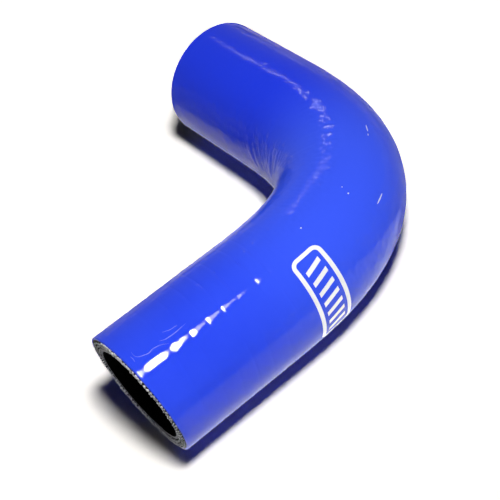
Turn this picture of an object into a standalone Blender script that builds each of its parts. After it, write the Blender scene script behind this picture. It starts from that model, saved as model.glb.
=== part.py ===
"""Silicone hose coupler: a 90 degree elbow of rubber hose, cured in one piece and open at both ends.

It lies on its side, with its bend in the horizontal plane. The near leg runs along +Y from its
cut end, and the bend turns it towards -X. The origin is under the middle of the bounding box.
"""

import math

import bmesh
import bpy
from mathutils import Matrix, Vector

# Driving dimensions, in metres and radians
BORE_DIAMETER = 0.032
WALL = 0.005
NEAR_STRAIGHT = 0.040
BEND_LENGTH = 0.112
FAR_STRAIGHT = 0.029
BEND_ANGLE = math.radians(90)
# The near end was cut a little out of square, so the hose is longest along its top
NEAR_CUT_SLANT = math.radians(4.5)

# How finely the round section and the bend are drawn
SECTION_SIDES = 48
BEND_STEPS = 24
FINE_STEPS = 20
# How far a cutter runs past the surface that it cuts
CUTTER_OVERRUN = 0.003
WELD_DISTANCE = 1e-6
SHARP_ANGLE = math.radians(30)

# Sizes that follow from the driving dimensions
BORE_RADIUS = BORE_DIAMETER / 2
OUTER_RADIUS = BORE_RADIUS + WALL
NEAR_CUT_REACH = OUTER_RADIUS * math.tan(NEAR_CUT_SLANT)

COVER_BLUE = (0.018, 0.055, 0.72, 1.0)
COVER_ROUGHNESS = 0.22


def clear_scene():
    for thing in list(bpy.data.objects):
        bpy.data.objects.remove(thing, do_unlink=True)


def new_collection(name):
    collection = bpy.data.collections.new(name)
    bpy.context.scene.collection.children.link(collection)
    return collection


def turned_angle(share):
    """The angle turned over a share of the bend, whose curvature rises evenly to the middle and falls again."""
    if share < 0.5:
        return BEND_ANGLE * 2 * share ** 2
    return BEND_ANGLE * (1 - 2 * (1 - share) ** 2)


def heading(angle):
    return Vector((-math.sin(angle), math.cos(angle), 0))


def side(angle):
    return Vector((math.cos(angle), math.sin(angle), 0))


def hose_centreline():
    """Points along the axis with the angle turned at each, from the near cut end to the far one."""
    place = Vector((0, 0, 0))
    stations = [(place.copy(), 0)]
    place += NEAR_STRAIGHT * heading(0)
    stations.append((place.copy(), 0))
    fine_count = BEND_STEPS * FINE_STEPS
    for fine in range(fine_count):
        middle = turned_angle((fine + 0.5) / fine_count)
        place += BEND_LENGTH / fine_count * heading(middle)
        if (fine + 1) % FINE_STEPS == 0:
            stations.append((place.copy(), turned_angle((fine + 1) / fine_count)))
    place += FAR_STRAIGHT * heading(BEND_ANGLE)
    stations.append((place.copy(), BEND_ANGLE))
    return stations


def standing_place(stations):
    """The shift that puts the origin under the middle of the hose, with the hose lying on Z = 0."""
    rims = [point + edge * OUTER_RADIUS * side(angle) for point, angle in stations for edge in (-1, 1)]
    rims.append(stations[0][0] - NEAR_CUT_REACH * heading(0))
    middle_x = (min(rim.x for rim in rims) + max(rim.x for rim in rims)) / 2
    middle_y = (min(rim.y for rim in rims) + max(rim.y for rim in rims)) / 2
    return Vector((-middle_x, -middle_y, OUTER_RADIUS))


def longer_path(path, at_near_end, at_far_end):
    """The path with straight runs added at its two ends."""
    near_way = (path[0] - path[1]).normalized()
    far_way = (path[-1] - path[-2]).normalized()
    longer = list(path)
    longer[0] = path[0] + at_near_end * near_way
    longer[-1] = path[-1] + at_far_end * far_way
    return longer


def round_bar(name, path, radius, collection):
    """A solid round bar along a path, as a mesh whose end caps are welded on."""
    curve = bpy.data.curves.new(name + "_path", "CURVE")
    curve.dimensions = "3D"
    curve.twist_mode = "Z_UP"
    curve.bevel_depth = radius
    curve.bevel_resolution = (SECTION_SIDES - 4) // 2
    curve.use_fill_caps = True
    spline = curve.splines.new("POLY")
    spline.points.add(len(path) - 1)
    for point, place in zip(spline.points, path):
        point.co = (*place, 1)
    drawn = bpy.data.objects.new(name + "_path", curve)
    collection.objects.link(drawn)
    bpy.context.view_layer.update()

    evaluated = drawn.evaluated_get(bpy.context.evaluated_depsgraph_get())
    mesh = bpy.data.meshes.new_from_object(evaluated)
    mesh.name = name
    body = bmesh.new()
    body.from_mesh(mesh)
    bmesh.ops.remove_doubles(body, verts=body.verts, dist=WELD_DISTANCE)
    bmesh.ops.recalc_face_normals(body, faces=body.faces)
    body.to_mesh(mesh)
    body.free()

    bar = bpy.data.objects.new(name, mesh)
    bar.matrix_world = drawn.matrix_world
    collection.objects.link(bar)
    bpy.data.objects.remove(drawn, do_unlink=True)
    return bar


def near_end_knife(cut_centre, depth, collection):
    """A block whose +Y face lies on the slanted plane of the near cut."""
    width = 2 * OUTER_RADIUS + 2 * CUTTER_OVERRUN
    height = width / math.cos(NEAR_CUT_SLANT)
    block = bmesh.new()
    bmesh.ops.create_cube(block, size=1)
    bmesh.ops.scale(block, vec=(width, depth, height), verts=block.verts)
    bmesh.ops.translate(block, vec=(0, -depth / 2, 0), verts=block.verts)
    mesh = bpy.data.meshes.new("near_end_knife")
    block.to_mesh(mesh)
    block.free()
    knife = bpy.data.objects.new("near_end_knife", mesh)
    knife.matrix_world = Matrix.Translation(cut_centre) @ Matrix.Rotation(NEAR_CUT_SLANT, 4, "X")
    collection.objects.link(knife)
    return knife


def cut_away(body, cutter):
    cutter.hide_render = True
    cutter.display_type = "WIRE"
    cut = body.modifiers.new(cutter.name, "BOOLEAN")
    cut.operation = "DIFFERENCE"
    cut.solver = "EXACT"
    cut.object = cutter


def cover_material():
    material = bpy.data.materials.new("blue_silicone")
    material.use_nodes = True
    shader = material.node_tree.nodes["Principled BSDF"]
    shader.inputs["Base Color"].default_value = COVER_BLUE
    shader.inputs["Roughness"].default_value = COVER_ROUGHNESS
    shader.inputs["Metallic"].default_value = 0.0
    return material


def build_hose(parts, cutters):
    stations = hose_centreline()
    shift = standing_place(stations)
    path = [point + shift for point, _ in stations]

    stock = NEAR_CUT_REACH + CUTTER_OVERRUN
    hose = round_bar("hose_elbow", longer_path(path, stock, 0), OUTER_RADIUS, parts)
    bore_path = longer_path(path, stock + CUTTER_OVERRUN, CUTTER_OVERRUN)
    bore = round_bar("bore", bore_path, BORE_RADIUS, cutters)
    knife = near_end_knife(path[0], 2 * stock + CUTTER_OVERRUN, cutters)
    cut_away(hose, bore)
    cut_away(hose, knife)

    hose.data.materials.clear()
    hose.data.materials.append(cover_material())
    hose.data.shade_smooth()
    hose.data.set_sharp_from_angle(angle=SHARP_ANGLE)


def main():
    clear_scene()
    parts = new_collection("silicone_hose_coupler")
    cutters = new_collection("cutters")
    build_hose(parts, cutters)


main()
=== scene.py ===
"""Looks of the silicone hose coupler: a glossy blue elbow of wrapped rubber hose, open at both ends.

The cover carries the marks of the tape that it was cured in, the cut ends show the spiral of woven
fabric in the wall, and a plain printed frame with slanted bars sits on the near leg. The hose lies
on a white floor in a room that looks white, under one soft lamp near the camera.
"""

import math
import random

import bmesh
import bpy
import numpy as np
from mathutils import Matrix, Vector, noise


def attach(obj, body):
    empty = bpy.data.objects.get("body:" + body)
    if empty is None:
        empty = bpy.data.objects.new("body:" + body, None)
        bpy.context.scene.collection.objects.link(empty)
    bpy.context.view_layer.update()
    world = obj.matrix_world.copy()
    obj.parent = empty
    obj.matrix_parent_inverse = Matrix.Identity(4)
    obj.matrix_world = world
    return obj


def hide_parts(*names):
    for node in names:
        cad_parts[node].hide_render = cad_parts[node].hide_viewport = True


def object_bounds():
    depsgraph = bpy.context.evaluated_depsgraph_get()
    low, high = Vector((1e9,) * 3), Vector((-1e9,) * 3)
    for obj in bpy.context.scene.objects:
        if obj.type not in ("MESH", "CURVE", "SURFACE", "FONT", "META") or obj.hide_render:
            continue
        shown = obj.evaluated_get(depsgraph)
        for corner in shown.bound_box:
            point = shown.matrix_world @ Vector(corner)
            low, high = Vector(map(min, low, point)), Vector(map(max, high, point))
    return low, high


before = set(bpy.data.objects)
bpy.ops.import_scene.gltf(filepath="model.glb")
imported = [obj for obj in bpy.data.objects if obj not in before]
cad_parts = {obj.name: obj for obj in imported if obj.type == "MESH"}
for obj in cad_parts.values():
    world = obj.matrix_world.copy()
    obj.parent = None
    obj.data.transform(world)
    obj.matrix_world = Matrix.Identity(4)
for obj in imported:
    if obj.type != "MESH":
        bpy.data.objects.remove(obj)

cad_low, cad_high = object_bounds()

# The hose's own sizes, in metres and radians
MM = 0.001
BORE_RADIUS = 16 * MM
WALL = 5 * MM
OUTER_RADIUS = BORE_RADIUS + WALL
NEAR_STRAIGHT = 40 * MM
BEND_LENGTH = 112 * MM
FAR_STRAIGHT = 29 * MM
BEND_ANGLE = math.radians(90)
NEAR_CUT_SLANT = math.radians(4.5)
HOSE_LENGTH = NEAR_STRAIGHT + BEND_LENGTH + FAR_STRAIGHT
BEND_FINE_STEPS = 480

# The layers of the wall
COVER_THICKNESS = 0.65 * MM
LINER_THICKNESS = 0.8 * MM
LIP_ROUNDING = 0.35 * MM
LIP_STEPS = 4

# How finely the pieces are drawn
COVER_COLUMNS = 208
NEAR_ROWS = 190
REST_ROWS = 210
FINE_LENGTH = 56 * MM
HIDDEN_ROWS = 36
CORE_COLUMNS = 160
CUT_FACE_RINGS = 6
LINER_COLUMNS = 128
LINER_ROWS = 90
SHARP_ANGLE = math.radians(35)


def turned_angle(share):
    """The angle turned over a share of the bend, whose curvature rises evenly to its middle, then falls."""
    share = np.clip(share, 0, 1)
    first_half = BEND_ANGLE * 2 * share ** 2
    second_half = BEND_ANGLE * (1 - 2 * (1 - share) ** 2)
    return np.where(share < 0.5, first_half, second_half)


def bend_table():
    """Places along the bend's centreline at even steps, starting from the end of the near leg."""
    near_axis_x = cad_high[0] - OUTER_RADIUS
    near_start_y = cad_low[1] + OUTER_RADIUS * math.tan(NEAR_CUT_SLANT)
    step = BEND_LENGTH / BEND_FINE_STEPS
    middles = turned_angle((np.arange(BEND_FINE_STEPS) + 0.5) / BEND_FINE_STEPS)
    across = np.concatenate(([0], np.cumsum(-np.sin(middles) * step)))
    onward = np.concatenate(([0], np.cumsum(np.cos(middles) * step)))
    return near_axis_x + across, near_start_y + NEAR_STRAIGHT + onward


BEND_X, BEND_Y = bend_table()
BEND_SHARES = np.linspace(0, 1, BEND_FINE_STEPS + 1)
AXIS_HEIGHT = cad_low[2] + OUTER_RADIUS


def hose_place(along, radius, around):
    """Points along the axis, away from it and at an angle round it: 0 on the outer side, 90 on top."""
    share = (along - NEAR_STRAIGHT) / BEND_LENGTH
    angle = turned_angle(share)
    before = np.minimum(along - NEAR_STRAIGHT, 0)
    after = np.maximum(along - NEAR_STRAIGHT - BEND_LENGTH, 0)
    x = np.interp(share, BEND_SHARES, BEND_X) - after
    y = np.interp(share, BEND_SHARES, BEND_Y) + before
    sideways = radius * np.cos(around)
    height = AXIS_HEIGHT + radius * np.sin(around)
    return np.stack([x + sideways * np.cos(angle), y + sideways * np.sin(angle), height], axis=-1)


def from_near_cut(distance, radius, around):
    """Distance along the axis for one from the near cut, whose slant fades out along the near leg."""
    slant = -radius * math.tan(NEAR_CUT_SLANT) * np.sin(around)
    fade = np.clip(1 - distance / NEAR_STRAIGHT, 0, 1)
    return distance + slant * fade


def noise_over(along, around, length, width, seed):
    """Smooth noise over the hose, about -1 to 1, in spots of a length along it and a width round it."""
    first = along / length + seed
    second = np.cos(around) * OUTER_RADIUS / width
    third = np.sin(around) * OUTER_RADIUS / width
    places = zip(first.ravel(), second.ravel(), third.ravel())
    return np.array([noise.noise(place) for place in places]).reshape(first.shape)


# Where the edges of the curing tape pressed in along the near leg's upper side, in mm from the near cut
TAPE_EDGES = (-6.1, 0.0, 10.4, 17.4, 23.5, 29.1, 34.8, 42.1, 46.9)
TAPE_EDGE_AROUND = math.radians(61)
TAPE_PITCH = 6.1 * MM
TAPE_JITTER = 0.7 * MM
TAPE_SEED = 5


def tape_edge_places():
    """Distance along the hose of each turn of the tape's edge."""
    places = [edge * MM for edge in TAPE_EDGES]
    chance = random.Random(TAPE_SEED)
    places.insert(0, places[0] - TAPE_PITCH)
    while places[-1] < HOSE_LENGTH + 2 * TAPE_PITCH:
        places.append(places[-1] + TAPE_PITCH + chance.uniform(-TAPE_JITTER, TAPE_JITTER))
    return np.array(places)


def smooth_step(low, high, value):
    share = np.clip((value - low) / (high - low), 0, 1)
    return share * share * (3 - 2 * share)


def hump(middle, half_width, value):
    """1 in the middle, falling smoothly to 0."""
    return np.exp(-((value - middle) / half_width) ** 2)


def mixed(start, end, share):
    return start + (end - start) * share


# Where each kind of noise starts, so that no two are alike
SLOPE_SEED = 4.4
RIPPLE_SEED = 3.7
WAVER_SEED = 7.7
SWELL_SEED = 1.3
WRINKLE_SEED = 6.2

TAPE_DEPTH = 0.075 * MM
TAPE_RISE = 0.7 * MM
TAPE_DROP = 0.3 * MM
# The first turns are a little shallower and rise faster, and the ones past the print are shallow
FIRST_TURNS = (5 * MM, 13 * MM)
FIRST_TURNS_DEPTH = 0.9
FIRST_TURNS_RISE = 0.5
PAST_PRINT = (50 * MM, 66 * MM)
PAST_PRINT_LOSS = 0.5
# Along the near leg's top each turn of tape also left a slope, steeper the farther it lies from the end
TURN_SLOPE_START = 6 * MM
TURN_SLOPE_GROWTH = 3.5
TURN_SLOPE_TOP = 0.125
TURN_SLOPE_UNEVENNESS = 0.5
TURN_SLOPE_SPOTS = (2 * MM, 3 * MM)
TURN_SLOPE_MIDDLE = math.radians(86)
TURN_SLOPE_WIDTH = math.radians(14)
TURN_SLOPE_END = (44 * MM, 54 * MM)


def tape_relief(along, around):
    """Shallow steps where the tape's edge lay: a sharp drop, then a slow rise away from the near end."""
    places = tape_edge_places()
    turn = np.interp(along, places, np.arange(len(places))) - (around - TAPE_EDGE_AROUND) / (2 * math.pi)
    index = np.floor(turn)
    width = np.interp(index + 1, np.arange(len(places) - 1), np.diff(places))
    share = turn - index
    past_edge = share * width
    to_next_edge = (1 - share) * width
    past_first = smooth_step(*FIRST_TURNS, along)
    past_print = smooth_step(*PAST_PRINT, along)
    depth = TAPE_DEPTH * (mixed(FIRST_TURNS_DEPTH, 1, past_first) - PAST_PRINT_LOSS * past_print)
    rise = TAPE_RISE * mixed(FIRST_TURNS_RISE, 1, past_first)
    steps = -depth * (np.exp(-past_edge / rise) + np.exp(-to_next_edge / TAPE_DROP))

    slope = np.clip((along - TURN_SLOPE_START) * TURN_SLOPE_GROWTH, 0, TURN_SLOPE_TOP)
    slope *= 1 + TURN_SLOPE_UNEVENNESS * noise_over(along, around, *TURN_SLOPE_SPOTS, SLOPE_SEED)
    slope *= hump(TURN_SLOPE_MIDDLE, TURN_SLOPE_WIDTH, around) * (1 - smooth_step(*TURN_SLOPE_END, along))
    lift = slope * width * (1 - (1 - share) ** 3) / 3 * (1 - np.exp(-to_next_edge / TAPE_DROP))
    return steps + lift


WAVER_LENGTH = 5.5 * MM
WAVER_WIDTH = 1.4 * WAVER_LENGTH
WAVER_HEIGHT = 0.012 * MM
SWELL_LENGTH = 26 * MM
SWELL_HEIGHT = 0.035 * MM
RIPPLE_LENGTH = 1.8 * MM
RIPPLE_WIDTH = 4.0 * MM
RIPPLE_HEIGHT = 0.034 * MM
RIPPLE_START = (40 * MM, 64 * MM)
# Where the waver and the swell set in, past the even near end
STEADY_END = (8 * MM, 20 * MM)


def ripple_relief(along, around):
    """Small ripples round the bend and along the far leg, over a wavering and a slow swell."""
    reach = smooth_step(*RIPPLE_START, along)
    ripple = noise_over(along, around, RIPPLE_LENGTH, RIPPLE_WIDTH, RIPPLE_SEED)
    waver = noise_over(along, around, WAVER_LENGTH, WAVER_WIDTH, WAVER_SEED)
    swell = noise_over(along, around, SWELL_LENGTH, SWELL_LENGTH, SWELL_SEED)
    past_end = smooth_step(*STEADY_END, along)
    return RIPPLE_HEIGHT * reach * ripple + past_end * (WAVER_HEIGHT * waver + SWELL_HEIGHT * swell)


WRINKLE_LENGTH = 2.2 * MM
WRINKLE_WIDTH = 14 * MM
WRINKLE_LEAN = 12 * MM
WRINKLE_HEIGHT = 0.13 * MM
WRINKLE_MIDDLE = math.radians(168)
WRINKLE_SPREAD = math.radians(34)
WRINKLE_START = (70 * MM, 100 * MM)
# They fade along the far leg, and are deepest in the throat, a little past the bend's middle
WRINKLE_FADE = (125 * MM, 165 * MM)
WRINKLE_FADE_LOSS = 0.5
THROAT_PLACE = 116 * MM
THROAT_LENGTH = 14 * MM
THROAT_BOOST = 1.2


def wrinkle_relief(along, around):
    """Wrinkles pressed into the inner side of the bend, which lean as they run out along the far leg."""
    inner = hump(WRINKLE_MIDDLE, WRINKLE_SPREAD, around)
    reach = smooth_step(*WRINKLE_START, along) * (1 - WRINKLE_FADE_LOSS * smooth_step(*WRINKLE_FADE, along))
    throat = 1 + THROAT_BOOST * hump(THROAT_PLACE, THROAT_LENGTH, along)
    leaning = along + WRINKLE_LEAN * (around - WRINKLE_MIDDLE)
    folds = noise_over(leaning, around, WRINKLE_LENGTH, WRINKLE_WIDTH, WRINKLE_SEED)
    return WRINKLE_HEIGHT * inner * reach * throat * folds


def cover_relief(along, around):
    """Height of the cover's surface over a true round tube."""
    return tape_relief(along, around) + ripple_relief(along, around) + wrinkle_relief(along, around)


def linked(name, mesh):
    piece = bpy.data.objects.new(name, mesh)
    bpy.context.scene.collection.objects.link(piece)
    return piece


def ring_mesh(name, rings):
    """A mesh through rings of points, equally many in each, that joins the last ring to the first."""
    ring_count, columns, _ = rings.shape
    points = rings.reshape(-1, 3)
    index = np.arange(ring_count * columns).reshape(ring_count, columns)
    onward = np.roll(index, -1, axis=0)
    quads = np.stack([index, np.roll(index, -1, axis=1), np.roll(onward, -1, axis=1), onward], axis=-1)
    mesh = bpy.data.meshes.new(name)
    mesh.from_pydata(points.tolist(), [], quads.reshape(-1, 4).tolist())
    mesh.update()
    return mesh


# Texture coordinates count in tenths of a metre
UNITS_PER_METRE = 10


def add_hose_coordinates(mesh, ring_places, columns):
    """Texture coordinates on a ring mesh: distance along the hose and distance round it."""
    layer = mesh.uv_layers.new(name="along_and_round")
    ring_count = len(ring_places)
    rows = np.repeat(np.arange(ring_count), columns)
    cells = np.tile(np.arange(columns), ring_count)
    next_rows = (rows + 1) % ring_count
    along = np.stack([ring_places[rows]] * 2 + [ring_places[next_rows]] * 2, axis=-1)
    around = np.stack([cells, cells + 1, cells + 1, cells], axis=-1) / columns
    distances = np.stack([along, around * 2 * math.pi * OUTER_RADIUS], axis=-1)
    pairs = distances * UNITS_PER_METRE
    layer.data.foreach_set("uv", pairs.ravel().astype(np.float32))


def face_outward(mesh):
    """Turns the faces of closed bodies to point out."""
    body = bmesh.new()
    body.from_mesh(mesh)
    bmesh.ops.recalc_face_normals(body, faces=body.faces)
    body.to_mesh(mesh)
    body.free()


def ball_shape(fineness):
    """Points and faces of a ball of radius 1."""
    ball = bmesh.new()
    bmesh.ops.create_icosphere(ball, subdivisions=fineness, radius=1)
    points = np.array([vertex.co[:] for vertex in ball.verts])
    faces = np.array([[vertex.index for vertex in face.verts] for face in ball.faces])
    ball.free()
    return points, faces


def balls_mesh(name, point_sets, ball_faces):
    """One mesh of many bodies, each with the same faces on its own set of points."""
    face_sets = [ball_faces + number * len(points) for number, points in enumerate(point_sets)]
    mesh = bpy.data.meshes.new(name)
    mesh.from_pydata(np.concatenate(point_sets).tolist(), [], np.concatenate(face_sets).tolist())
    face_outward(mesh)
    return mesh


def finish_piece(piece, *materials):
    for material in materials:
        piece.data.materials.append(material)
    piece.data.shade_smooth()
    piece.data.set_sharp_from_angle(angle=SHARP_ANGLE)
    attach(piece, "root")
    return piece


def even_angles(columns):
    return np.arange(columns) / columns * 2 * math.pi


def cover_rings():
    """Rings over the outside, round each lip, and back along the hidden inner side."""
    around = even_angles(COVER_COLUMNS)
    inner_radius = OUTER_RADIUS - COVER_THICKNESS
    corner = np.linspace(math.pi / 2, 0, LIP_STEPS + 1)
    lip_in = LIP_ROUNDING * (1 - np.sin(corner))
    lip_drop = LIP_ROUNDING * (1 - np.cos(corner))

    near_rows = np.linspace(LIP_ROUNDING, FINE_LENGTH, NEAR_ROWS)[1:]
    rest_rows = np.linspace(FINE_LENGTH, HOSE_LENGTH - LIP_ROUNDING, REST_ROWS)[1:-1]
    outside = np.concatenate([near_rows, rest_rows])
    hidden = np.linspace(HOSE_LENGTH, 0, HIDDEN_ROWS)
    distances = np.concatenate([lip_in, outside, HOSE_LENGTH - lip_in[::-1], hidden])
    drops = np.concatenate([lip_drop, np.zeros_like(outside), lip_drop[::-1]])
    radii = np.concatenate([OUTER_RADIUS - drops, np.full(len(hidden), inner_radius)])

    distance_grid, around_grid = np.meshgrid(distances, around, indexing="ij")
    radius_grid = np.repeat(radii[:, None], COVER_COLUMNS, axis=1)
    along_grid = from_near_cut(distance_grid, radius_grid, around_grid)
    shown = len(drops)
    radius_grid[:shown] += cover_relief(along_grid[:shown], around_grid[:shown])
    return hose_place(along_grid, radius_grid, around_grid), distances


NEAR_CUT_Y = BEND_Y[0] - NEAR_STRAIGHT
# The pale lip, a painted highlight on the near cut's rim: how far from the near cut it reaches, and how far
# from straight ahead it may face
LIP_REACH = 3 * MM
LIP_FACING = math.radians(70)


def make_cover(material, lip_material):
    rings, places = cover_rings()
    mesh = ring_mesh("hose_cover", rings)
    add_hose_coordinates(mesh, places, COVER_COLUMNS)
    piece = linked("hose_cover", mesh)
    finish_piece(piece, material, lip_material)
    for face in mesh.polygons:
        near_lip = face.center.y < NEAR_CUT_Y + LIP_REACH
        if near_lip and face.normal.y < -math.cos(LIP_FACING):
            face.material_index = 1
    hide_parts("hose_elbow")
    return piece


# Small bumps on the cover, pale as painted highlights: distance along in mm, angle round in degrees,
# half length and half width in mm
GLINT_BUMPS = (
    (104.2, 55, 1.25, 0.20),
    (101.6, 55.5, 0.35, 0.16),
    (84.4, 35, 1.7, 0.19),
    (80.0, 61, 0.24, 0.24),
    (63.0, 73, 0.24, 0.22),
    (80.9, 68, 0.16, 0.16),
    (131.0, 20, 0.3, 0.2),
    (150.0, 250, 0.3, 0.25),
    (110.0, 300, 0.9, 0.18),
    (38.0, 140, 0.3, 0.2),
)
GLINT_BUMP_HEIGHT = 0.08 * MM
GLINT_BUMP_FINENESS = 3


def make_glint_bumps(material):
    """Small bumps pale as painted highlights, each a flat grain half sunk into the cover."""
    ball_points, ball_faces = ball_shape(GLINT_BUMP_FINENESS)
    point_sets = []
    for place, angle, half_length, half_width in GLINT_BUMPS:
        along = place * MM + ball_points[:, 0] * half_length * MM
        around = math.radians(angle) + ball_points[:, 1] * half_width * MM / OUTER_RADIUS
        base = OUTER_RADIUS + cover_relief(along, around)
        point_sets.append(hose_place(along, base + ball_points[:, 2] * GLINT_BUMP_HEIGHT, around))
    return finish_piece(linked("cover_painted_glints", balls_mesh("cover_painted_glints", point_sets, ball_faces)), material)


# Hairlines on the cover, thin ridges pale as painted reflections: distance along in mm and angle round
# in degrees, point by point
HAIRLINES = (
    ((1.7, 79.5), (1.5, 75.5), (2.4, 72.4), (3.9, 71.2),
     (5.2, 69.8), (6.3, 71.2), (8.8, 70.2), (11.2, 66.4)),
    ((0.6, 71.5), (0.8, 74.5), (0.7, 77.0)),
    ((9.6, 72.8), (11.4, 70.6), (14.7, 70.2), (18.5, 71.0)),
    ((12.0, 77.0), (14.2, 74.6), (16.4, 74.2)),
)
HAIRLINE_WIDTH = 0.075 * MM
HAIRLINE_HEIGHT = 0.035 * MM
HAIRLINE_STEPS = 40
HAIRLINE_SIDES = 8
HAIRLINE_SOFTENING = 6
# How much of half a sine wave a hairline's width follows
HAIRLINE_TAPER = (0.06, 0.94)


def make_hairlines(material):
    """Thin hairlines, pale as painted reflections, each a fine thread half sunk into the cover that narrows
    to its ends.
    """
    sides = even_angles(HAIRLINE_SIDES)
    shares = np.linspace(0, 1, HAIRLINE_STEPS)
    width = HAIRLINE_WIDTH * np.sqrt(np.sin(np.linspace(*HAIRLINE_TAPER, HAIRLINE_STEPS) * math.pi))
    threads = bmesh.new()
    for line in HAIRLINES:
        knots = np.array(line)
        knot_shares = np.linspace(0, 1, len(knots))
        along = np.interp(shares, knot_shares, knots[:, 0]) * MM
        around = np.radians(np.interp(shares, knot_shares, knots[:, 1]))
        for _ in range(HAIRLINE_SOFTENING):
            along[1:-1] = (along[:-2] + 2 * along[1:-1] + along[2:]) / 4
            around[1:-1] = (around[:-2] + 2 * around[1:-1] + around[2:]) / 4
        run = np.stack([np.gradient(along), np.gradient(around) * OUTER_RADIUS])
        run /= np.hypot(*run)
        sideways = width[:, None] * np.cos(sides)
        ring_along = along[:, None] - run[1][:, None] * sideways
        ring_around = around[:, None] + run[0][:, None] * sideways / OUTER_RADIUS
        radius = OUTER_RADIUS + cover_relief(ring_along, ring_around) + HAIRLINE_HEIGHT * np.sin(sides)
        rings = hose_place(ring_along, radius, ring_around)
        rows = [[threads.verts.new(point) for point in ring] for ring in rings]
        for here, there in zip(rows, rows[1:]):
            for side in range(HAIRLINE_SIDES):
                threads.faces.new((here[side - 1], here[side], there[side], there[side - 1]))
        threads.faces.new(rows[0])
        threads.faces.new(rows[-1])
    mesh = bpy.data.meshes.new("cover_hairlines")
    threads.to_mesh(mesh)
    threads.free()
    face_outward(mesh)
    return finish_piece(linked("cover_hairlines", mesh), material)


def plain_layer_rings(outer_radius, inner_radius, columns, rows, face_rings):
    """Rings of a plain tube whose two cut faces are drawn with several rings."""
    around = even_angles(columns)
    runs = np.linspace(0, HOSE_LENGTH, rows)
    face = np.linspace(outer_radius, inner_radius, face_rings + 2)[1:-1]
    distances = np.concatenate([runs, np.full(face_rings, HOSE_LENGTH), runs[::-1], np.zeros(face_rings)])
    outward = np.full(rows, outer_radius)
    inward = np.full(rows, inner_radius)
    radii = np.concatenate([outward, face, inward, face[::-1]])
    distance_grid, around_grid = np.meshgrid(distances, around, indexing="ij")
    radius_grid = np.repeat(radii[:, None], columns, axis=1)
    along_grid = from_near_cut(distance_grid, radius_grid, around_grid)
    return hose_place(along_grid, radius_grid, around_grid)


def make_ply_core(material):
    """The black rubber that the fabric is bedded in, between the cover and the liner."""
    outer = OUTER_RADIUS - COVER_THICKNESS
    inner = BORE_RADIUS + LINER_THICKNESS
    rings = plain_layer_rings(outer, inner, CORE_COLUMNS, HIDDEN_ROWS, CUT_FACE_RINGS)
    piece = linked("ply_core", ring_mesh("ply_core", rings))
    return finish_piece(piece, material)


LINER_FACE_RINGS = 2
# The liner's cut faces, grey as painted light from the floor's bounce: the cosine of how far they may turn
# from the leg's line, and their reach
CUT_FACING = 0.9
NEAR_FACE_REACH = 2 * MM
FAR_FACE_REACH = MM


def make_liner(material, cut_material):
    outer = BORE_RADIUS + LINER_THICKNESS
    rings = plain_layer_rings(outer, BORE_RADIUS, LINER_COLUMNS, LINER_ROWS, LINER_FACE_RINGS)
    piece = linked("bore_liner", ring_mesh("bore_liner", rings))
    finish_piece(piece, material, cut_material)
    for face in piece.data.polygons:
        on_near = abs(face.normal.y) > CUT_FACING and face.center.y < NEAR_CUT_Y + NEAR_FACE_REACH
        on_far = abs(face.normal.x) > CUT_FACING and face.center.x < cad_low[0] + FAR_FACE_REACH
        if on_near or on_far:
            face.material_index = 1
    return piece


# The woven fabric: one strip rolled up inside the wall, whose cut yarns stand out of each cut face
PLY_TURNS = 3
YARNS_PER_TURN = 100
YARN_LENGTH = 0.50 * MM
YARN_THICKNESS = 0.18 * MM
YARN_LEAN = math.radians(37)
YARN_PROUD = 0.22 * MM
YARN_SEED = 11
YARN_FINENESS = 2
# How deep a yarn end is for its thickness
YARN_DEPTH = 1.2
# Turns of room that the roll leaves in the wall, and how much of it lies on the inner side
ROLL_ROOM = 0.35
ROLL_INNER_ROOM = 0.22
# How the yarn ends differ: place, length, thickness, lean, distance from the axis and how proud
YARN_PLACES = (0.3, 0.7)
YARN_LENGTHS = (0.8, 1.2)
YARN_THICKNESSES = (0.8, 1.15)
YARN_LEANS = (-0.15, 0.15)
YARN_SHIFTS = (-0.05, 0.05)
YARN_PROUD_SHARES = (0.4, 1.6)


def ply_radius(turns):
    """Radius of the rolled fabric after a number of turns."""
    inner = BORE_RADIUS + LINER_THICKNESS
    outer = OUTER_RADIUS - COVER_THICKNESS
    pitch = (outer - inner) / (PLY_TURNS + ROLL_ROOM)
    return inner + pitch * (turns + ROLL_INNER_ROOM)


def cut_point(near, depth, radius, around):
    """Points at a depth behind the near or the far cut face."""
    if near:
        return hose_place(from_near_cut(np.zeros_like(radius), radius, around) + depth, radius, around)
    return hose_place(HOSE_LENGTH - depth, radius, around)


def make_yarn_ends(name, near, start_turn, material):
    """The cut ends of the twisted yarns, slanting one after another round each turn of the fabric."""
    chance = random.Random(YARN_SEED + near)
    ball_points, ball_faces = ball_shape(YARN_FINENESS)
    point_sets = []
    for number in range(PLY_TURNS * YARNS_PER_TURN):
        turns = (number + chance.uniform(*YARN_PLACES)) / YARNS_PER_TURN
        length = YARN_LENGTH * chance.uniform(*YARN_LENGTHS)
        thickness = YARN_THICKNESS * chance.uniform(*YARN_THICKNESSES)
        lean = YARN_LEAN + chance.uniform(*YARN_LEANS)
        radius = ply_radius(turns) + chance.uniform(*YARN_SHIFTS) * MM
        around = (turns + start_turn) * 2 * math.pi
        along_yarn = ball_points[:, 0] * length
        across_yarn = ball_points[:, 1] * thickness
        ball_around = around + (along_yarn * math.cos(lean) - across_yarn * math.sin(lean)) / radius
        ball_radius = radius + along_yarn * math.sin(lean) + across_yarn * math.cos(lean)
        proud = YARN_PROUD * chance.uniform(*YARN_PROUD_SHARES)
        depth = ball_points[:, 2] * thickness * YARN_DEPTH - proud
        point_sets.append(cut_point(near, depth, ball_radius, ball_around))
    return finish_piece(linked(name, balls_mesh(name, point_sets, ball_faces)), material)


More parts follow.
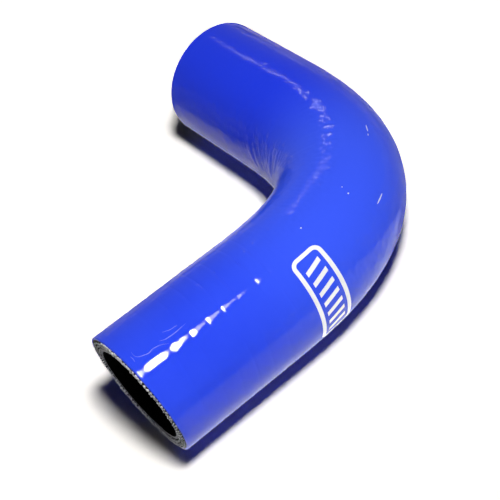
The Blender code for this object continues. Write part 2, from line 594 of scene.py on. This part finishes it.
# The printed mark: a plain rounded frame with slanted bars, printed round the near leg
PRINT_START = 52.2 * MM
PRINT_END = 62.6 * MM
PRINT_TOP = math.radians(57)
PRINT_BOTTOM = math.radians(-31)
PRINT_STROKE = 1.25 * MM
PRINT_CORNER = 2.6 * MM
PRINT_THICKNESS = 0.04 * MM
PRINT_CORNER_STEPS = 10
PRINT_SIDE_STEPS = 40
PRINT_HALF_ALONG = (PRINT_END - PRINT_START) / 2
PRINT_HALF_ROUND = (PRINT_TOP - PRINT_BOTTOM) / 2 * OUTER_RADIUS
# The stroke's section: share of the way in from its outer edge, and under or over the cover
STROKE_SECTION = ((0, -1), (0, 1), (0.33, 1), (0.67, 1), (1, 1), (1, -1))
BAR_COUNT = 7
BAR_WIDTH = 1.5 * MM
BAR_LEAN = 1.5 * MM
# Room between the bars and the frame, at the ends of the row and at the ends of each bar
ROW_GAP = 1.9 * MM
BAR_GAP = 1.15 * MM
BAR_LENGTHWAYS = 9
BAR_CROSSWAYS = 4
# Which way each corner of the frame lies: along the hose and round it
CORNER_SIDES = ((1, 1), (-1, 1), (-1, -1), (1, -1))


def rounded_outline(half_along, half_round, corner):
    """Points round a rectangle with rounded corners, with closely spaced points on its long sides."""
    middles = [(along * (half_along - corner), round_it * (half_round - corner))
               for along, round_it in CORNER_SIDES]
    quarter_turn = math.pi / 2

    def rim(middle, angle):
        return middle[0] + corner * math.cos(angle), middle[1] + corner * math.sin(angle)

    points = []
    for quarter, (middle, next_middle) in enumerate(zip(middles, middles[1:] + middles[:1])):
        turn = quarter * quarter_turn
        for step in range(PRINT_CORNER_STEPS + 1):
            points.append(rim(middle, turn + step / PRINT_CORNER_STEPS * quarter_turn))
        on_long_side = quarter % 2 == 1
        steps = PRINT_SIDE_STEPS if on_long_side else PRINT_CORNER_STEPS
        start = points[-1]
        end = rim(next_middle, turn + quarter_turn)
        for step in range(1, steps):
            share = step / steps
            points.append((mixed(start[0], end[0], share), mixed(start[1], end[1], share)))
    return np.array(points)


def on_cover(flat_points, height):
    """Points of the flat print laid on the cover, at a height over its surface."""
    along = (PRINT_START + PRINT_END) / 2 + flat_points[..., 0]
    around = (PRINT_TOP + PRINT_BOTTOM) / 2 + flat_points[..., 1] / OUTER_RADIUS
    radius = OUTER_RADIUS + cover_relief(along, around % (2 * math.pi)) + height
    return hose_place(along, radius, around)


def make_print_frame(material):
    rings = []
    for inset, height in STROKE_SECTION:
        shift = inset * PRINT_STROKE
        corner = PRINT_CORNER - shift
        outline = rounded_outline(PRINT_HALF_ALONG - shift, PRINT_HALF_ROUND - shift, corner)
        rings.append(on_cover(outline, height * PRINT_THICKNESS))
    mesh = ring_mesh("print_frame", np.stack(rings))
    face_outward(mesh)
    return finish_piece(linked("print_frame", mesh), material)


def bar_points(middle, length):
    """The two grids of points of one bar, over and under the cover."""
    points = []
    for height in (PRINT_THICKNESS, -PRINT_THICKNESS):
        for i in range(BAR_LENGTHWAYS):
            for j in range(BAR_CROSSWAYS):
                share = i / (BAR_LENGTHWAYS - 1) - 0.5
                across = middle + (j / (BAR_CROSSWAYS - 1) - 0.5) * BAR_WIDTH + share * BAR_LEAN
                points.append(on_cover(np.array([share * length, across]), height).tolist())
    return points


def bar_faces(first):
    """The faces of one bar, whose points start at a number: its two grids and the rim between them."""
    last_row = BAR_LENGTHWAYS - 1
    last_column = BAR_CROSSWAYS - 1

    def corner(i, j, under):
        return first + (under * BAR_LENGTHWAYS + i) * BAR_CROSSWAYS + j

    faces = []
    for i in range(last_row):
        for j in range(last_column):
            for under in (0, 1):
                faces.append([corner(i, j, under), corner(i + 1, j, under),
                              corner(i + 1, j + 1, under), corner(i, j + 1, under)])
    rim = [(i, 0) for i in range(last_row)]
    rim += [(last_row, j) for j in range(last_column)]
    rim += [(i, last_column) for i in range(last_row, 0, -1)]
    rim += [(0, j) for j in range(last_column, 0, -1)]
    for here, there in zip(rim, rim[1:] + rim[:1]):
        faces.append([corner(*here, 0), corner(*there, 0), corner(*there, 1), corner(*here, 1)])
    return faces


def make_print_bars(material):
    """Slanted bars inside the frame, each a strip with a bent grid so that it follows the round hose."""
    half_row = PRINT_HALF_ROUND - PRINT_STROKE - ROW_GAP
    length = 2 * (PRINT_HALF_ALONG - PRINT_STROKE - BAR_GAP)
    points = []
    faces = []
    for number in range(BAR_COUNT):
        middle = half_row - (number + 0.5) / BAR_COUNT * 2 * half_row
        faces += bar_faces(len(points))
        points += bar_points(middle, length)
    mesh = bpy.data.meshes.new("print_bars")
    mesh.from_pydata(points, [], faces)
    face_outward(mesh)
    return finish_piece(linked("print_bars", mesh), material)


def new_material(name):
    material = bpy.data.materials.new(name)
    material.use_nodes = True
    nodes = material.node_tree.nodes
    return material, nodes, material.node_tree.links, nodes["Principled BSDF"]


def blended_colours(nodes, links, factor, low, high):
    """Goes from a low to a high colour, each either plain or another node's output."""
    blend = nodes.new("ShaderNodeMix")
    blend.data_type = "RGBA"
    links.new(factor, blend.inputs[0])
    for socket, colour in ((blend.inputs[6], low), (blend.inputs[7], high)):
        if isinstance(colour, bpy.types.NodeSocket):
            links.new(colour, socket)
        else:
            socket.default_value = (*colour, 1)
    return blend.outputs[2]


def noise_texture(nodes, links, vector, scale, detail):
    texture = nodes.new("ShaderNodeTexNoise")
    texture.inputs["Scale"].default_value = scale
    texture.inputs["Detail"].default_value = detail
    links.new(vector, texture.inputs["Vector"])
    return texture.outputs["Fac"]


def stretched(nodes, links, vector, scale):
    mapping = nodes.new("ShaderNodeMapping")
    mapping.inputs["Scale"].default_value = scale
    links.new(vector, mapping.inputs["Vector"])
    return mapping.outputs["Vector"]


def math_node(nodes, links, operation, *values):
    node = nodes.new("ShaderNodeMath")
    node.operation = operation
    for socket, value in zip(node.inputs, values):
        if isinstance(value, bpy.types.NodeSocket):
            links.new(value, socket)
        else:
            socket.default_value = value
    return node.outputs[0]


def share_between(nodes, links, value, low, high):
    """0 up to a low value, 1 from a high one, and smooth between them."""
    node = nodes.new("ShaderNodeMapRange")
    node.interpolation_type = "SMOOTHSTEP"
    node.inputs["From Min"].default_value = low
    node.inputs["From Max"].default_value = high
    links.new(value, node.inputs["Value"])
    return node.outputs["Result"]


# The cover's blues: two that cloud the near leg, one for the bend, paler as a painted sheen,
# and one for the far leg, a stronger blue as painted light where the lamp's light is weaker
COVER_BLUE_DEEP = (0.018, 0.060, 0.87)
COVER_BLUE_PALE = (0.029, 0.081, 0.94)
# The bend's paler blue is a painted sheen
BEND_BLUE_PAINTED_SHEEN = (0.039, 0.100, 0.97)
# The far leg's stronger blue is painted light, making up for the lamp's weaker light along it
FAR_BLUE_PAINTED_LIGHT = (0.009, 0.043, 0.90)
# What the hose's bounced light on the floor starts from, dimmer than the hose, to keep its shadows dark
BOUNCED_BLUE = (0.008, 0.020, 0.32)
# Stretches of the hose over which its colour or relief changes
BLUE_ONTO_BEND = (24 * MM, 66 * MM)
BLUE_OFF_BEND = (95 * MM, 140 * MM)
FINE_PAST_PRINT = (42 * MM, 64 * MM)
BEND_MIDDLE = (84 * MM, 104 * MM)
THROAT_START = (78 * MM, 104 * MM)
# The spots in its colour, grain and relief: their length, width and amount of finer detail
CLOUD_SPOTS = (14 * MM, 18 * MM, 4)
GRAIN_SPOTS = (0.7 * MM, 14 * MM, 2)
FINE_RIPPLE_SPOTS = (1.5 * MM, 2.0 * MM, 0)
FINE_WRINKLE_SPOTS = (1.3 * MM, MM, 1)
DRAWN_GRAIN_HEIGHT = 0.010 * MM
FINE_RIPPLE_HEIGHT = 0.055 * MM
# How much the ripples gain before the bend's middle, and their least strength, on the near leg
BEND_START_BOOST = 1.8
NEAR_LEG_SHARE = 0.28
FINE_WRINKLE_HEIGHT = 0.14 * MM
# Radius at which the fine wrinkles' noise is read, which makes them long round the hose
FINE_WRINKLE_RADIUS = 3 * MM
# The cosine of the angle from the wrinkles' middle, where they begin and where they are in full
WRINKLED_SHARE = (0.72, 0.96)
BODY_ROUGHNESS = 0.30
SILICONE_IOR = 1.40
COAT_WEIGHT = 0.27
COAT_ROUGHNESS = 0.04


def silicone_material():
    """Glossy blue silicone with a painted sheen round the bend, painted light on the far leg, a fine drawn
    grain, ripples and wrinkles.
    """
    material, nodes, links, shader = new_material("blue_silicone")

    def product(first, second):
        return math_node(nodes, links, "MULTIPLY", first, second)

    split = nodes.new("ShaderNodeSeparateXYZ")
    links.new(nodes.new("ShaderNodeTexCoord").outputs["UV"], split.inputs[0])
    along = product(split.outputs[0], 1 / UNITS_PER_METRE)
    angle = product(split.outputs[1], 1 / UNITS_PER_METRE / OUTER_RADIUS)
    cosine = math_node(nodes, links, "COSINE", angle)
    sine = math_node(nodes, links, "SINE", angle)
    on_hose = nodes.new("ShaderNodeCombineXYZ")
    links.new(along, on_hose.inputs[0])
    links.new(product(cosine, OUTER_RADIUS), on_hose.inputs[1])
    links.new(product(sine, OUTER_RADIUS), on_hose.inputs[2])

    def spots(length, width, detail):
        scale = (1 / length, 1 / width, 1 / width)
        return noise_texture(nodes, links, stretched(nodes, links, on_hose.outputs[0], scale), 1.0, detail)

    def share_along(stretch):
        return share_between(nodes, links, along, *stretch)

    cloud = spots(*CLOUD_SPOTS)
    near_blue = blended_colours(nodes, links, cloud, COVER_BLUE_DEEP, COVER_BLUE_PALE)
    onto_bend = share_along(BLUE_ONTO_BEND)
    off_bend = share_along(BLUE_OFF_BEND)
    # Round the bend the blue turns paler, a painted sheen
    blue_with_painted_sheen = blended_colours(nodes, links, onto_bend, near_blue, BEND_BLUE_PAINTED_SHEEN)
    # Past the bend the blue turns stronger, painted light for the lamp's weaker light on the far leg
    seen_blue = blended_colours(nodes, links, off_bend, blue_with_painted_sheen, FAR_BLUE_PAINTED_LIGHT)
    bounced = nodes.new("ShaderNodeLightPath").outputs["Is Diffuse Ray"]
    links.new(blended_colours(nodes, links, bounced, seen_blue, BOUNCED_BLUE), shader.inputs["Base Color"])

    shader.inputs["Roughness"].default_value = BODY_ROUGHNESS
    shader.inputs["IOR"].default_value = SILICONE_IOR
    # The coat alone shines, so that nothing hazy lies under its sharp reflections
    shader.inputs["Specular IOR Level"].default_value = 0.0
    shader.inputs["Coat Weight"].default_value = COAT_WEIGHT
    shader.inputs["Coat Roughness"].default_value = COAT_ROUGHNESS
    shader.inputs["Coat IOR"].default_value = SILICONE_IOR

    grain = product(spots(*GRAIN_SPOTS), DRAWN_GRAIN_HEIGHT)
    past_print = share_along(FINE_PAST_PRINT)
    before_middle = math_node(nodes, links, "SUBTRACT", 1, share_along(BEND_MIDDLE))
    boost = math_node(nodes, links, "MULTIPLY_ADD", before_middle, BEND_START_BOOST, 1)
    boosted = product(past_print, boost)
    strength = math_node(nodes, links, "MAXIMUM", boosted, NEAR_LEG_SHARE)
    ripple = product(product(spots(*FINE_RIPPLE_SPOTS), FINE_RIPPLE_HEIGHT), strength)
    to_inner = math_node(nodes, links, "MULTIPLY_ADD", sine, math.sin(WRINKLE_MIDDLE),
                         product(cosine, math.cos(WRINKLE_MIDDLE)))
    inner = share_between(nodes, links, to_inner, *WRINKLED_SHARE)
    throat = product(inner, share_along(THROAT_START))
    lean = nodes.new("ShaderNodeCombineXYZ")
    links.new(math_node(nodes, links, "MULTIPLY_ADD", sine, -WRINKLE_LEAN, along), lean.inputs[0])
    links.new(product(cosine, FINE_WRINKLE_RADIUS), lean.inputs[1])
    links.new(product(sine, FINE_WRINKLE_RADIUS), lean.inputs[2])
    fold_length, fold_width, fold_detail = FINE_WRINKLE_SPOTS
    scale = (1 / fold_length, 1 / fold_width, 1 / fold_width)
    leaning = stretched(nodes, links, lean.outputs[0], scale)
    folds = product(noise_texture(nodes, links, leaning, 1.0, fold_detail), FINE_WRINKLE_HEIGHT)
    grain_and_ripple = math_node(nodes, links, "ADD", grain, ripple)
    height = math_node(nodes, links, "ADD", grain_and_ripple, product(folds, throat))
    bump = nodes.new("ShaderNodeBump")
    bump.inputs["Distance"].default_value = 1.0
    links.new(height, bump.inputs["Height"])
    links.new(bump.outputs["Normal"], shader.inputs["Normal"])
    links.new(bump.outputs["Normal"], shader.inputs["Coat Normal"])
    return material


# The plain materials: the grain's dark and light colours, roughness, the grain's scale and gloss
PLAIN_MATERIALS = {
    # The lip's pale colour is a painted highlight on the cut rim
    "lip_painted_highlight": ((0.40, 0.42, 0.82), (0.60, 0.62, 0.92), 0.45, 2200, 0.5),
    # The hairlines' pale colour is a painted reflection
    "hairline_painted_reflection": ((0.07, 0.12, 0.88), (0.15, 0.21, 0.92), 0.4, 3000, 0.5),
    # The bumps' pale colour is a painted highlight
    "glint_bump_painted_highlight": ((0.55, 0.60, 0.92), (0.85, 0.88, 0.97), 0.5, 3000, 0.5),
    "ply_rubber": ((0.002, 0.002, 0.003), (0.010, 0.010, 0.012), 0.6, 2500, 0.02),
    "liner_rubber": ((0.002, 0.002, 0.002), (0.005, 0.005, 0.006), 0.7, 900, 0.0),
    # The liner's cut faces are grey as painted light from the floor's bounce
    "liner_cut_face_painted_light": ((0.16, 0.16, 0.18), (0.34, 0.34, 0.37), 0.7, 2500, 0.1),
    "yarn": ((0.80, 0.81, 0.85), (0.98, 0.98, 1.0), 0.9, 3500, 0.1),
    "white_print": ((0.93, 0.93, 0.94), (0.97, 0.97, 0.97), 0.35, 1500, 0.5),
}
PLAIN_GRAIN_DETAIL = 3


def plain_material(name):
    """A matt or satin surface with a small uneven grain."""
    low, high, roughness, scale, gloss = PLAIN_MATERIALS[name]
    material, nodes, links, shader = new_material(name)
    coordinates = nodes.new("ShaderNodeTexCoord").outputs["Object"]
    grain = noise_texture(nodes, links, coordinates, scale, PLAIN_GRAIN_DETAIL)
    links.new(blended_colours(nodes, links, grain, low, high), shader.inputs["Base Color"])
    shader.inputs["Roughness"].default_value = roughness
    shader.inputs["Specular IOR Level"].default_value = gloss
    return material


# Where the roll of fabric begins round each cut end, in turns
NEAR_ROLL_START = 0.31
FAR_ROLL_START = 0.12


def make_hose():
    """Builds every piece of the hose and returns them."""
    # The near lip is pale as a painted highlight
    lip = plain_material("lip_painted_highlight")
    pieces = [make_cover(silicone_material(), lip)]
    # Hairlines whose pale colour is a painted reflection
    pieces.append(make_hairlines(plain_material("hairline_painted_reflection")))
    # Small bumps whose pale colour is a painted highlight
    pieces.append(make_glint_bumps(plain_material("glint_bump_painted_highlight")))
    pieces.append(make_ply_core(plain_material("ply_rubber")))
    # The liner's cut faces get a grey that is painted bounce light
    pieces.append(make_liner(plain_material("liner_rubber"), plain_material("liner_cut_face_painted_light")))
    yarn = plain_material("yarn")
    pieces.append(make_yarn_ends("near_yarn_ends", True, NEAR_ROLL_START, yarn))
    pieces.append(make_yarn_ends("far_yarn_ends", False, FAR_ROLL_START, yarn))
    ink = plain_material("white_print")
    pieces.append(make_print_frame(ink))
    pieces.append(make_print_bars(ink))
    return pieces


UPWARD = Vector((0, 0, 1))
ALONG_NEAR_LEG = Vector((0, 1, 0))

# The camera, fitted to the hose's outline: its angles and distance from the corner of the legs' axes,
# how far right and up in the view that corner lies, as shares of the distance, and the lens in mm
CAMERA_AZIMUTH = 1.0900320282
CAMERA_ELEVATION = 0.7718812690
CAMERA_ROLL = -0.3030302527
CAMERA_DISTANCE = 0.398155
CORNER_RIGHT = 0.120861
CORNER_UP = 0.0490262
CAMERA_LENS = 90.7467
SENSOR_WIDTH = 36
CLIP_START = 0.01


def camera_axes():
    forward = Vector((
        -math.cos(CAMERA_ELEVATION) * math.sin(CAMERA_AZIMUTH),
        math.cos(CAMERA_ELEVATION) * math.cos(CAMERA_AZIMUTH),
        -math.sin(CAMERA_ELEVATION),
    ))
    level = forward.cross(UPWARD).normalized()
    upright = level.cross(forward)
    right = math.cos(CAMERA_ROLL) * level + math.sin(CAMERA_ROLL) * upright
    up = -math.sin(CAMERA_ROLL) * level + math.cos(CAMERA_ROLL) * upright
    return right, up, forward


def make_camera():
    right, up, forward = camera_axes()
    corner = Vector((cad_high[0] - OUTER_RADIUS, cad_high[1] - OUTER_RADIUS, AXIS_HEIGHT))
    place = corner - CAMERA_DISTANCE * (forward + CORNER_RIGHT * right + CORNER_UP * up)
    data = bpy.data.cameras.new("photo_camera")
    data.sensor_width = SENSOR_WIDTH
    data.lens = CAMERA_LENS
    data.dof.use_dof = False
    data.clip_start = CLIP_START
    camera = bpy.data.objects.new("photo_camera", data)
    turn = Matrix((right, up, -forward)).transposed().to_4x4()
    camera.matrix_world = Matrix.Translation(place) @ turn
    bpy.context.scene.collection.objects.link(camera)
    bpy.context.scene.camera = camera


# The soft key lamp near the camera, found from where the shadows and the streak fall
LAMP_PLACE = Vector((0.202, -0.026, 0.463))
LAMP_RADIUS = 45 * MM
LAMP_POWER = 8.0
# The same lamp as the gloss shows it, with the glare round it
GLARE_PLACE = Vector((0.170, 0.041, 0.463))
GLARE_SIZE = (96 * MM, 38 * MM)
GLARE_POWER = 2.9
# A dimmer halo behind it, which draws the streak's tails
HALO_PLACE = GLARE_PLACE + 20 * MM * UPWARD
HALO_SIZE = (56 * MM, 150 * MM)
HALO_POWER = 1.1
# Low soft lights that light the hose, so that only what it bounces reaches the floor: places, powers
FILLS = (
    (Vector((0.95, -0.10, 0.03)), 1.2),
    (Vector((-0.80, 0.40, 0.10)), 0.5),
    (Vector((-0.30, -0.80, 0.30)), 0.5),
)
FILL_SIZE = 0.10
# Flat panels of light beside the legs, which the gloss shows as the bands along their lower sides:
# left, front, right and back edges and power
PANELS = (
    ((-0.108, -0.004, 0.030, 0.043), 0.028),
    ((0.045, -0.300, 0.125, 0.066), 0.240),
)
PANEL_HEIGHT = 0.3 * MM
# A dim strip of light behind the hose, which the ripples on its crest pick up
STRIP_AZIMUTH = math.radians(-54.3)
STRIP_ELEVATION = math.radians(37)
STRIP_DISTANCE = 1.2
STRIP_SIZE = (0.32, 0.014)
STRIP_POWER = 0.60
# The brightness of the room in diffuse light
ROOM_LEVEL = 0.003


def aimed(lamp, target, upward):
    """Points a lamp at a target, with its height turned towards a direction."""
    back = (lamp.location - target).normalized()
    across = upward.cross(back).normalized()
    turn = Matrix((across, back.cross(across), back)).transposed().to_4x4()
    lamp.matrix_world = Matrix.Translation(lamp.location) @ turn


def area_lamp(name, shape, size, power, place, target, upward=UPWARD):
    """A flat lamp that the camera doesn't see."""
    light = bpy.data.lights.new(name, "AREA")
    light.shape = shape
    light.size, light.size_y = size
    light.energy = power
    lamp = linked(name, light)
    lamp.location = place
    aimed(lamp, target, upward)
    lamp.visible_camera = False
    return lamp


def gloss_lamp(*settings):
    """A flat lamp that shows in gloss alone."""
    area_lamp(*settings).visible_diffuse = False


def make_key_lamp():
    light = bpy.data.lights.new("key_lamp", "POINT")
    light.energy = LAMP_POWER
    light.shadow_soft_size = LAMP_RADIUS
    lamp = linked("key_lamp", light)
    lamp.location = LAMP_PLACE
    lamp.visible_camera = False
    lamp.visible_glossy = False


def make_lamps(pieces):
    make_key_lamp()
    middle = AXIS_HEIGHT * UPWARD
    gloss_lamp("lamp_glare", "ELLIPSE", GLARE_SIZE, GLARE_POWER, GLARE_PLACE, middle, ALONG_NEAR_LEG)
    gloss_lamp("lamp_halo", "ELLIPSE", HALO_SIZE, HALO_POWER, HALO_PLACE, middle, ALONG_NEAR_LEG)

    on_hose = bpy.data.collections.new("filled_pieces")
    for piece in pieces:
        on_hose.objects.link(piece)
    for place, power in FILLS:
        fill = area_lamp("soft_fill", "SQUARE", (FILL_SIZE, FILL_SIZE), power, place, middle)
        fill.visible_glossy = False
        fill.light_linking.receiver_collection = on_hose

    for (left, front, right, back), power in PANELS:
        place = Vector(((left + right) / 2, (front + back) / 2, cad_low[2] + PANEL_HEIGHT))
        size = (right - left, back - front)
        gloss_lamp("band_panel", "RECTANGLE", size, power, place, place + UPWARD, ALONG_NEAR_LEG)

    level = math.cos(STRIP_ELEVATION)
    direction = Vector((
        math.sin(STRIP_AZIMUTH) * level,
        math.cos(STRIP_AZIMUTH) * level,
        math.sin(STRIP_ELEVATION),
    ))
    top = 2 * OUTER_RADIUS * UPWARD
    gloss_lamp("strip_light", "RECTANGLE", STRIP_SIZE, STRIP_POWER, STRIP_DISTANCE * direction + top, top)


# The floor: its colour to diffuse light, and its colour in view, raised until it reads white
FLOOR_COLOUR = (0.60, 0.60, 0.60)
FLOOR_SEEN = (1.17, 1.13, 1.09)
FLOOR_SIZE = 12
# A small lamp's light on a floor falls off with the cube of the distance from it
LIGHT_FALLOFF = 3
WHITE = (1, 1, 1)


def in_view(nodes, links):
    """1 for the camera's rays and those in gloss and glass, which see a white background, else 0."""
    rays = nodes.new("ShaderNodeLightPath").outputs
    straight = math_node(nodes, links, "MAXIMUM", rays["Is Camera Ray"], rays["Is Glossy Ray"])
    return math_node(nodes, links, "MAXIMUM", straight, rays["Is Transmission Ray"])


def floor_material():
    """A floor that is white and even in view and keeps the shadow, and is grey to diffuse light."""
    material = bpy.data.materials.new("white_floor")
    material.use_nodes = True
    nodes = material.node_tree.nodes
    links = material.node_tree.links
    nodes.clear()
    output = nodes.new("ShaderNodeOutputMaterial")
    diffuse = nodes.new("ShaderNodeBsdfDiffuse")
    links.new(diffuse.outputs[0], output.inputs["Surface"])
    place = nodes.new("ShaderNodeNewGeometry").outputs["Position"]

    to_lamp = nodes.new("ShaderNodeVectorMath")
    to_lamp.operation = "DISTANCE"
    to_lamp.inputs[1].default_value = LAMP_PLACE
    links.new(place, to_lamp.inputs[0])
    spread = math_node(nodes, links, "DIVIDE", to_lamp.outputs["Value"], LAMP_PLACE.z)
    falloff = math_node(nodes, links, "POWER", spread, LIGHT_FALLOFF)
    evened = nodes.new("ShaderNodeVectorMath")
    evened.operation = "SCALE"
    evened.inputs[0].default_value = FLOOR_SEEN
    links.new(falloff, evened.inputs["Scale"])

    seen = evened.outputs["Vector"]
    colour = blended_colours(nodes, links, in_view(nodes, links), FLOOR_COLOUR, seen)
    links.new(colour, diffuse.inputs["Color"])
    return material


def make_floor():
    mesh = bpy.data.meshes.new("floor")
    half = FLOOR_SIZE / 2
    height = cad_low[2]
    corners = [(-half, -half, height), (half, -half, height), (half, half, height), (-half, half, height)]
    mesh.from_pydata(corners, [], [(0, 1, 2, 3)])
    mesh.materials.append(floor_material())
    linked("floor", mesh)


def make_world():
    """A room that the camera, gloss and glass see as white, and that gives almost no light."""
    world = bpy.data.worlds.new("white_room")
    bpy.context.scene.world = world
    world.use_nodes = True
    nodes = world.node_tree.nodes
    links = world.node_tree.links
    background = nodes["Background"]
    colour = blended_colours(nodes, links, in_view(nodes, links), (ROOM_LEVEL,) * 3, WHITE)
    links.new(colour, background.inputs["Color"])


make_camera()
hose_pieces = make_hose()
make_lamps(hose_pieces)
make_floor()
make_world()
bpy.context.scene.view_settings.view_transform = "Standard"
